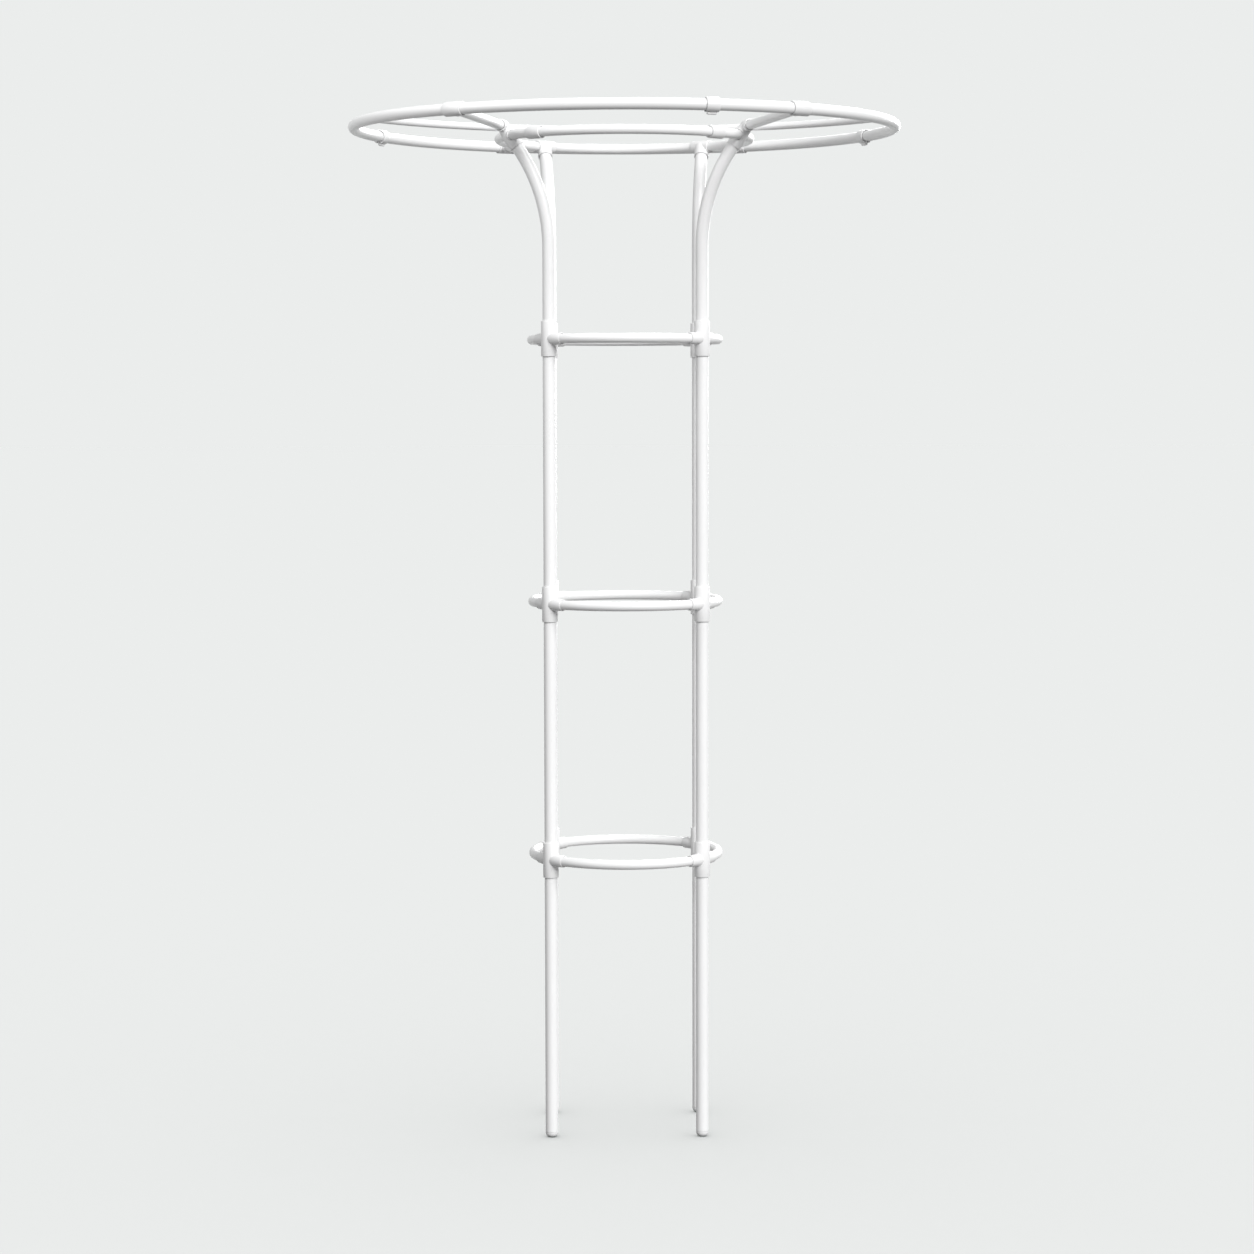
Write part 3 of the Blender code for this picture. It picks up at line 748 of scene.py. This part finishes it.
class SUPPORT_OT_connectors(bpy.types.Operator):
    """Model the twelve column connectors"""

    bl_idname = "support.connectors"
    bl_label = "Column connectors"

    def execute(self, context):
        layout = scene_layout()
        sizes = layout.sizes
        lip = sizes.lip
        half = thickness("connector_lower_front_right") / 2
        post = bearing(0, sizes.column_radius, 0)
        stops, radii = rounded(half, layout.connector_r, lip)
        across = Vector((1, 0, 0))
        solids = [straight_bar(post, UP, stops, radii, across)]
        stops, radii = mouth(layout.post_r + CLEARANCE, half, lip, sizes.lead_in)
        stops = [-stop for stop in reversed(stops)] + stops
        cutters = [straight_bar(post, UP, stops, radii[::-1] + radii, across)]
        socket = layout.socket_start
        for side in (-1, 1):
            root = layout.stub_r + layout.STUB_TAPER
            stops, radii = rounded_end(0.0, layout.stub_mouth, root, layout.stub_r, lip)
            stops.insert(1, socket)
            radii.insert(1, radii[0])
            bearings = [side * stop / sizes.column_radius for stop in stops]
            solids.append(ring_bar(sizes.column_radius, 0, bearings, radii, FITTING_SIDES))
            hole_r = layout.ring_r + CLEARANCE
            stops, radii = mouth(hole_r, layout.stub_mouth, lip, sizes.lead_in)
            bearings = [side * stop / sizes.column_radius for stop in (socket, *stops)]
            bore = ring_bar(sizes.column_radius, 0, bearings, [hole_r, *radii], FITTING_SIDES)
            cutters.append(bore)
        cross = combine("connector", solids, cutters)
        for level, height in layout.levels.items():
            for corner, angle in layout.posts.items():
                mesh = moved(cross, (0, 0, height), angle)
                finish_piece(f"connector_{level}_{corner}", mesh, moulding_material(), "fitting")
        return {"FINISHED"}


class SUPPORT_OT_column_rings(bpy.types.Operator):
    """Model the three column rings, four arcs each"""

    bl_idname = "support.column_rings"
    bl_label = "Column rings"

    def execute(self, context):
        layout = scene_layout()
        radius = layout.sizes.column_radius
        post = layout.sizes.post_bearing
        end = (layout.socket_start + CLEARANCE) / radius
        for side, start, stop in arc_spans(post, post):
            bearings = fine(start + end, stop - end)
            arc = to_mesh(ring_bar(radius, 0, bearings, layout.ring_r), "ring_arc")
            for level, height in layout.levels.items():
                mesh = moved(arc, (0, 0, height))
                finish_piece(f"ring_{level}_{side}", mesh, coat_material(), "coated_tube")
        return {"FINISHED"}


class SUPPORT_OT_outer_ring(bpy.types.Operator):
    """Model the four arcs of the wide ring"""

    bl_idname = "support.outer_ring"
    bl_label = "Outer ring"

    def execute(self, context):
        layout = scene_layout()
        radius = layout.sizes.outer_radius
        end = CLEARANCE / 2 / radius
        spans = arc_spans(layout.sizes.front_tee_bearing, layout.sizes.rear_tee_bearing)
        for side, start, stop in spans:
            arc = ring_bar(radius, layout.outer_z, fine(start + end, stop - end), layout.outer_r)
            mesh = to_mesh(arc, "outer_arc")
            finish_piece("outer_ring_" + side, mesh, coat_material(), "coated_tube")
        return {"FINISHED"}


class SUPPORT_OT_inner_ring(bpy.types.Operator):
    """Model the two arcs of the inner ring"""

    bl_idname = "support.inner_ring"
    bl_label = "Inner ring"

    def execute(self, context):
        layout = scene_layout()
        radius = layout.sizes.inner_radius
        joint = layout.sizes.inner_sleeve_bearing
        end = CLEARANCE / 2 / radius
        spans = {"front": (-joint, joint), "rear": (joint, 2 * math.pi - joint)}
        for side, (start, stop) in spans.items():
            arc = ring_bar(radius, layout.inner_z, fine(start + end, stop - end), layout.ring_r)
            mesh = to_mesh(arc, "inner_arc")
            finish_piece("inner_ring_" + side, mesh, coat_material(), "coated_tube")
        return {"FINISHED"}


class SUPPORT_OT_ring_sleeves(bpy.types.Operator):
    """Model the two sleeves over the inner ring's joints"""

    bl_idname = "support.ring_sleeves"
    bl_label = "Ring sleeves"

    def execute(self, context):
        layout = scene_layout()
        sizes = layout.sizes
        sleeve_r = layout.ring_r + CLEARANCE + layout.SLEEVE_WALL
        for name, side in (("right", 1), ("left", -1)):
            centre = mirrored(sizes.inner_sleeve_bearing, side)
            blank, bore = ring_sleeve(
                sizes.inner_radius, layout.inner_z, centre, layout.SLEEVE_HALF, sleeve_r,
                layout.ring_r + CLEARANCE, sizes,
            )
            mesh = combine("inner_ring_sleeve", [blank], [bore])
            finish_piece("inner_ring_sleeve_" + name, mesh, moulding_material(), "fitting")
        return {"FINISHED"}


class SUPPORT_OT_head_elbows(bpy.types.Operator):
    """Model the two rounded elbows at the front of the head"""

    bl_idname = "support.head_elbows"
    bl_label = "Head elbows"

    def execute(self, context):
        layout = scene_layout()
        sizes = layout.sizes
        lip = sizes.lip
        flares = scene_flares(layout)
        for name in ("right", "left"):
            corner = "front_" + name
            flare = flares[corner]
            spoke = Spoke(layout, corner, flare)
            stops, radii = rounded_end(
                0.0, layout.SOCKET, layout.post_collar_r, layout.post_collar_r, lip,
            )
            stops.insert(0, -layout.CROWN_RISE)
            radii.insert(0, layout.collar_r)
            body = straight_bar(flare.end, -flare.way, stops, radii, flare.normal)
            ball = bmesh.new()
            bmesh.ops.create_uvsphere(
                ball, u_segments=BALL_SIDES, v_segments=BALL_BANDS,
                radius=layout.collar_r + layout.CROWN_BULGE, matrix=Matrix.Translation(flare.crown),
            )
            collar, ring_bore = ring_sleeve(
                sizes.inner_radius, layout.inner_z, flare.end_bearing, layout.RING_COLLAR_HALF,
                layout.ring_r + CLEARANCE + layout.COLLAR_WALL, layout.ring_r + CLEARANCE, sizes,
            )
            blank, bore = spoke.socket(layout, False, lip)
            mesh = combine(
                "head_elbow", [body, ball, collar, blank],
                [post_socket_bore(layout, flare, lip), ring_bore, bore],
            )
            finish_piece("head_elbow_" + name, mesh, moulding_material(), "fitting")
        return {"FINISHED"}


class SUPPORT_OT_inner_tees(bpy.types.Operator):
    """Model the two tees at the rear of the inner ring"""

    bl_idname = "support.inner_tees"
    bl_label = "Inner tees"

    def execute(self, context):
        layout = scene_layout()
        sizes = layout.sizes
        lip = sizes.lip
        flares = scene_flares(layout)
        for name in ("right", "left"):
            corner = "rear_" + name
            flare = flares[corner]
            spoke = Spoke(layout, corner, flare)
            sleeve, ring_bore = ring_sleeve(
                sizes.inner_radius, layout.inner_z, flare.end_bearing, layout.INNER_TEE_HALF,
                layout.ring_r + CLEARANCE + layout.SLEEVE_WALL, layout.ring_r + CLEARANCE, sizes,
            )
            stops, radii = rounded_end(
                0.0, layout.SOCKET, layout.post_collar_r, layout.post_collar_r, lip,
            )
            lower = straight_bar(flare.end, -flare.way, stops, radii, flare.normal)
            blank, bore = spoke.socket(layout, False, lip)
            mesh = combine(
                "inner_tee", [sleeve, lower, blank],
                [ring_bore, post_socket_bore(layout, flare, lip), bore],
            )
            finish_piece("inner_tee_" + name, mesh, moulding_material(), "fitting")
        return {"FINISHED"}


class SUPPORT_OT_spokes(bpy.types.Operator):
    """Model the four spokes"""

    bl_idname = "support.spokes"
    bl_label = "Spokes"

    def execute(self, context):
        layout = scene_layout()
        for corner, flare in scene_flares(layout).items():
            spoke = Spoke(layout, corner, flare)
            stops = [spoke.inner_stop, spoke.way.length - spoke.outer_stop]
            radii = [layout.spoke_r] * 2
            rod = straight_bar(spoke.inner, spoke.way, stops, radii, sides=TUBE_SIDES)
            finish_piece("spoke_" + corner, to_mesh(rod, "spoke"), coat_material(), "coated_tube")
        return {"FINISHED"}


class SUPPORT_OT_outer_tees(bpy.types.Operator):
    """Model the four tees on the wide ring"""

    bl_idname = "support.outer_tees"
    bl_label = "Outer tees"

    def execute(self, context):
        layout = scene_layout()
        sizes = layout.sizes
        lip = sizes.lip
        bore_r = layout.outer_r + CLEARANCE
        for corner, flare in scene_flares(layout).items():
            spoke = Spoke(layout, corner, flare)
            sleeve, ring_bore = ring_sleeve(
                sizes.outer_radius, layout.outer_z, layout.outer_bearing(corner),
                layout.OUTER_TEE_HALF, bore_r + layout.OUTER_TEE_WALL, bore_r, sizes,
            )
            blank, bore = spoke.socket(layout, True, lip)
            mesh = combine("outer_tee", [sleeve, blank], [ring_bore, bore])
            finish_piece("outer_tee_" + corner, mesh, moulding_material(), "fitting")
        return {"FINISHED"}


class SUPPORT_OT_brace(bpy.types.Operator):
    """Model the slim bow across the wide ring"""

    bl_idname = "support.brace"
    bl_label = "Brace bow"

    def execute(self, context):
        layout = scene_layout()
        sizes = layout.sizes
        end = bearing(sizes.brace_bearing, sizes.outer_radius, layout.outer_z)
        sag = sizes.brace_back - end.y
        radius = (end.x ** 2 + sag ** 2) / (2 * sag)
        centre = Vector((0, sizes.brace_back - radius, layout.outer_z))
        half = math.asin(end.x / radius)
        turns = fine(-half, half)
        points = [centre + Vector((math.sin(turn), math.cos(turn), 0)) * radius for turn in turns]
        bow = bar(points, sizes.brace_tube / 2, UP, BRACE_SIDES)
        cutters = []
        for side in (-1, 1):
            middle = side * sizes.brace_bearing
            reach = layout.BRACE_COPE_REACH / sizes.outer_radius
            cut_r = layout.outer_r + CLEARANCE
            bearings = fine(middle - reach, middle + reach)
            cutters.append(ring_bar(sizes.outer_radius, layout.outer_z, bearings, cut_r))
        mesh = combine("brace_bow", [bow], cutters)
        finish_piece("brace_bow", mesh, coat_material(), "brace")
        return {"FINISHED"}


class SUPPORT_OT_clips(bpy.types.Operator):
    """Model the three clips that slide along the wide ring"""

    bl_idname = "support.clips"
    bl_label = "Ring clips"

    def execute(self, context):
        layout = scene_layout()
        sizes = layout.sizes
        spots = {
            "front": sizes.clip_bearing,
            "right": sizes.side_clip_bearing,
            "left": 2 * math.pi - sizes.side_clip_bearing,
        }
        clip_r = layout.outer_r + CLIP_CLEARANCE + layout.CLIP_WALL
        drop = layout.outer_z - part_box("ring_clip_front")[0].z
        block = (layout.TAB_WIDTH, layout.TAB_THICKNESS, drop)
        for name, centre in spots.items():
            sleeve, bore = ring_sleeve(
                sizes.outer_radius, layout.outer_z, centre, layout.CLIP_HALF, clip_r,
                layout.outer_r + CLIP_CLEARANCE, sizes,
            )
            tab = bmesh.new()
            bmesh.ops.create_cube(tab, size=1.0)
            bmesh.ops.scale(tab, vec=block, verts=tab.verts[:])
            bmesh.ops.translate(tab, vec=(0, 0, -drop / 2), verts=tab.verts[:])
            low = [edge for edge in tab.edges if all(vert.co.z < -drop / 2 for vert in edge.verts)]
            bmesh.ops.bevel(
                tab, geom=low, offset=layout.TAB_ROUND, segments=TAB_ROUND_STEPS, affect="EDGES",
                profile=0.5, material=-1,
            )
            spot = Matrix.Translation(bearing(centre, sizes.outer_radius, layout.outer_z))
            turned = spot @ Matrix.Rotation(centre, 4, "Z")
            bmesh.ops.transform(tab, matrix=turned, verts=tab.verts[:])
            mesh = combine("ring_clip", [sleeve, tab], [bore])
            finish_piece("ring_clip_" + name, mesh, clip_material(), "clip", "clip_" + name)
        return {"FINISHED"}


def backdrop_mask(tree):
    """1 for rays that should see the backdrop's own colour: camera, gloss and transmission."""
    path = tree.nodes.new("ShaderNodeLightPath")
    first = tree.nodes.new("ShaderNodeMath")
    first.operation = "MAXIMUM"
    second = tree.nodes.new("ShaderNodeMath")
    second.operation = "MAXIMUM"
    link_nodes(
        tree,
        (path.outputs["Is Camera Ray"], first.inputs[0]),
        (path.outputs["Is Glossy Ray"], first.inputs[1]),
        (first.outputs["Value"], second.inputs[0]),
        (path.outputs["Is Transmission Ray"], second.inputs[1]),
    )
    return second.outputs["Value"]


class SUPPORT_OT_stage(bpy.types.Operator):
    """Set the floor, the backdrop, the lamps and the camera"""

    bl_idname = "support.stage"
    bl_label = "Studio"

    def execute(self, context):
        self.make_world(context)
        floor = self.make_floor(context)
        self.add_sun(context, "key", KEY, floor, "EXCLUDE")
        self.add_sun(context, "rear", REAR, floor, "EXCLUDE")
        self.add_sun(context, "floor_lamp", FLOOR_LAMP, floor, "INCLUDE")
        self.add_softbox(context, floor)
        self.make_camera(context)
        context.scene.view_settings.view_transform = "Standard"
        return {"FINISHED"}

    def make_world(self, context):
        """An even sky that the camera sees as the pale backdrop."""
        world = bpy.data.worlds.new("studio")
        world.use_nodes = True
        context.scene.world = world
        tree = world.node_tree
        seen = tree.nodes["Background"]
        seen.inputs["Color"].default_value = (*context.scene.support_colours.backdrop, 1.0)
        seen.inputs["Strength"].default_value = 1.0
        light = tree.nodes.new("ShaderNodeBackground")
        light.inputs["Color"].default_value = (1.0, 1.0, 1.0, 1.0)
        light.inputs["Strength"].default_value = SKY_LIGHT
        mix = tree.nodes.new("ShaderNodeMixShader")
        link_nodes(
            tree,
            (backdrop_mask(tree), mix.inputs["Fac"]),
            (light.outputs["Background"], mix.inputs[1]),
            (seen.outputs["Background"], mix.inputs[2]),
            (mix.outputs["Shader"], tree.nodes["World Output"].inputs["Surface"]),
        )

    def make_floor(self, context):
        """A floor of the backdrop's colour that takes the soft shadow of its lamp and the sky."""
        bm = bmesh.new()
        bmesh.ops.create_grid(bm, x_segments=1, y_segments=1, size=FLOOR_HALF)
        mesh = bpy.data.meshes.new("studio_floor")
        bm.to_mesh(mesh)
        bm.free()
        floor = bpy.data.objects.new("studio_floor", mesh)
        floor.location.z = -FLOOR_DROP
        context.scene.collection.objects.link(floor)
        material = bpy.data.materials.new("studio_floor")
        material.use_nodes = True
        tree = material.node_tree
        tree.nodes.remove(tree.nodes["Principled BSDF"])
        matte = tree.nodes.new("ShaderNodeBsdfDiffuse")
        matte.inputs["Color"].default_value = (*[FLOOR_TONE] * 3, 1.0)
        seen = tree.nodes.new("ShaderNodeBsdfDiffuse")
        seen.inputs["Color"].default_value = (*[FLOOR_SEEN_TONE] * 3, 1.0)
        glow = tree.nodes.new("ShaderNodeEmission")
        colour = context.scene.support_colours.backdrop
        lit = FLOOR_SEEN_TONE * (SKY_LIGHT + FLOOR_LAMP[0] / math.pi)
        glow.inputs["Color"].default_value = (*[channel - lit for channel in colour], 1.0)
        both = tree.nodes.new("ShaderNodeAddShader")
        mix = tree.nodes.new("ShaderNodeMixShader")
        link_nodes(
            tree,
            (backdrop_mask(tree), mix.inputs["Fac"]),
            (matte.outputs["BSDF"], mix.inputs[1]),
            (both.outputs["Shader"], mix.inputs[2]),
            (seen.outputs["BSDF"], both.inputs[0]),
            (glow.outputs["Emission"], both.inputs[1]),
            (mix.outputs["Shader"], tree.nodes["Material Output"].inputs["Surface"]),
        )
        mesh.materials.append(material)
        return floor

    def add_lamp(self, context, data, place, towards, floor, floor_state):
        """A lamp that leaves out the floor, or lights the floor alone."""
        lamp = bpy.data.objects.new(data.name, data)
        lamp.location = place
        lamp.rotation_euler = towards.to_track_quat("Z", "Y").to_euler()
        context.scene.collection.objects.link(lamp)
        group = bpy.data.collections.new(data.name + "_floor")
        group.objects.link(floor)
        group.collection_objects[0].light_linking.link_state = floor_state
        lamp.light_linking.receiver_collection = group
        return lamp

    def add_sun(self, context, name, light, floor, floor_state):
        """A broad, even light from one direction."""
        data = bpy.data.lights.new(name, "SUN")
        data.energy, data.angle, azimuth, elevation = light
        towards = bearing(azimuth, math.cos(elevation), math.sin(elevation))
        self.add_lamp(context, data, towards, towards, floor, floor_state)

    def add_softbox(self, context, floor):
        """A weak softbox at the front left of the head, opposite the key."""
        data = bpy.data.lights.new("softbox", "AREA")
        data.energy = SOFTBOX_POWER
        data.size = SOFTBOX_SIZE
        lamp = self.add_lamp(
            context, data, SOFTBOX_PLACE, SOFTBOX_PLACE - SOFTBOX_AIM, floor, "EXCLUDE",
        )
        lamp.visible_camera = False

    def make_camera(self, context):
        """The photograph's view: a long lens a little below the upper column ring."""
        data = bpy.data.cameras.new("photo_view")
        data.sensor_width = SENSOR_WIDTH
        data.lens = data.sensor_width * FOCAL_PIXELS / PHOTO_SIDE
        camera = bpy.data.objects.new("photo_view", data)
        data.shift_x = -CAMERA_SHIFT / PHOTO_SIDE
        turn = Matrix.Rotation(-CAMERA_YAW, 3, "Z")
        camera.location = turn @ Vector((0, -CAMERA_DISTANCE, CAMERA_HEIGHT))
        aim = turn @ Euler((math.pi / 2 - CAMERA_PITCH, 0, 0)).to_matrix()
        camera.rotation_euler = (aim @ Matrix.Rotation(CAMERA_ROLL, 3, "Z")).to_euler()
        context.scene.collection.objects.link(camera)
        context.scene.camera = camera


class SUPPORT_PT_panel(bpy.types.Panel):
    """Sidebar panel with one button for each group of pieces"""

    bl_label = "Plant Support"
    bl_idname = "SUPPORT_PT_panel"
    bl_space_type = "VIEW_3D"
    bl_region_type = "UI"
    bl_category = "Plant Support"

    def draw(self, context):
        for step in STEPS:
            self.layout.operator(step.bl_idname)


STEPS = (
    SUPPORT_OT_posts, SUPPORT_OT_post_tops, SUPPORT_OT_feet, SUPPORT_OT_connectors,
    SUPPORT_OT_column_rings, SUPPORT_OT_outer_ring, SUPPORT_OT_inner_ring, SUPPORT_OT_ring_sleeves,
    SUPPORT_OT_head_elbows, SUPPORT_OT_inner_tees, SUPPORT_OT_spokes, SUPPORT_OT_outer_tees,
    SUPPORT_OT_brace, SUPPORT_OT_clips, SUPPORT_OT_stage,
)
CLASSES = (SupportSizes, SupportColours, *STEPS, SUPPORT_PT_panel)


def register():
    """Register the classes and the settings."""
    for item in CLASSES:
        bpy.utils.register_class(item)
    bpy.types.Scene.support_sizes = PointerProperty(type=SupportSizes)
    bpy.types.Scene.support_colours = PointerProperty(type=SupportColours)


def unregister():
    """Take the settings and the classes out again."""
    del bpy.types.Scene.support_colours
    del bpy.types.Scene.support_sizes
    for item in reversed(CLASSES):
        bpy.utils.unregister_class(item)


def main():
    """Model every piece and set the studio."""
    register()
    bpy.ops.support.posts()
    bpy.ops.support.post_tops()
    bpy.ops.support.feet()
    bpy.ops.support.connectors()
    bpy.ops.support.column_rings()
    bpy.ops.support.outer_ring()
    bpy.ops.support.inner_ring()
    bpy.ops.support.ring_sleeves()
    bpy.ops.support.head_elbows()
    bpy.ops.support.inner_tees()
    bpy.ops.support.spokes()
    bpy.ops.support.outer_tees()
    bpy.ops.support.brace()
    bpy.ops.support.clips()
    bpy.ops.support.stage()


if __name__ == "__main__":
    main()
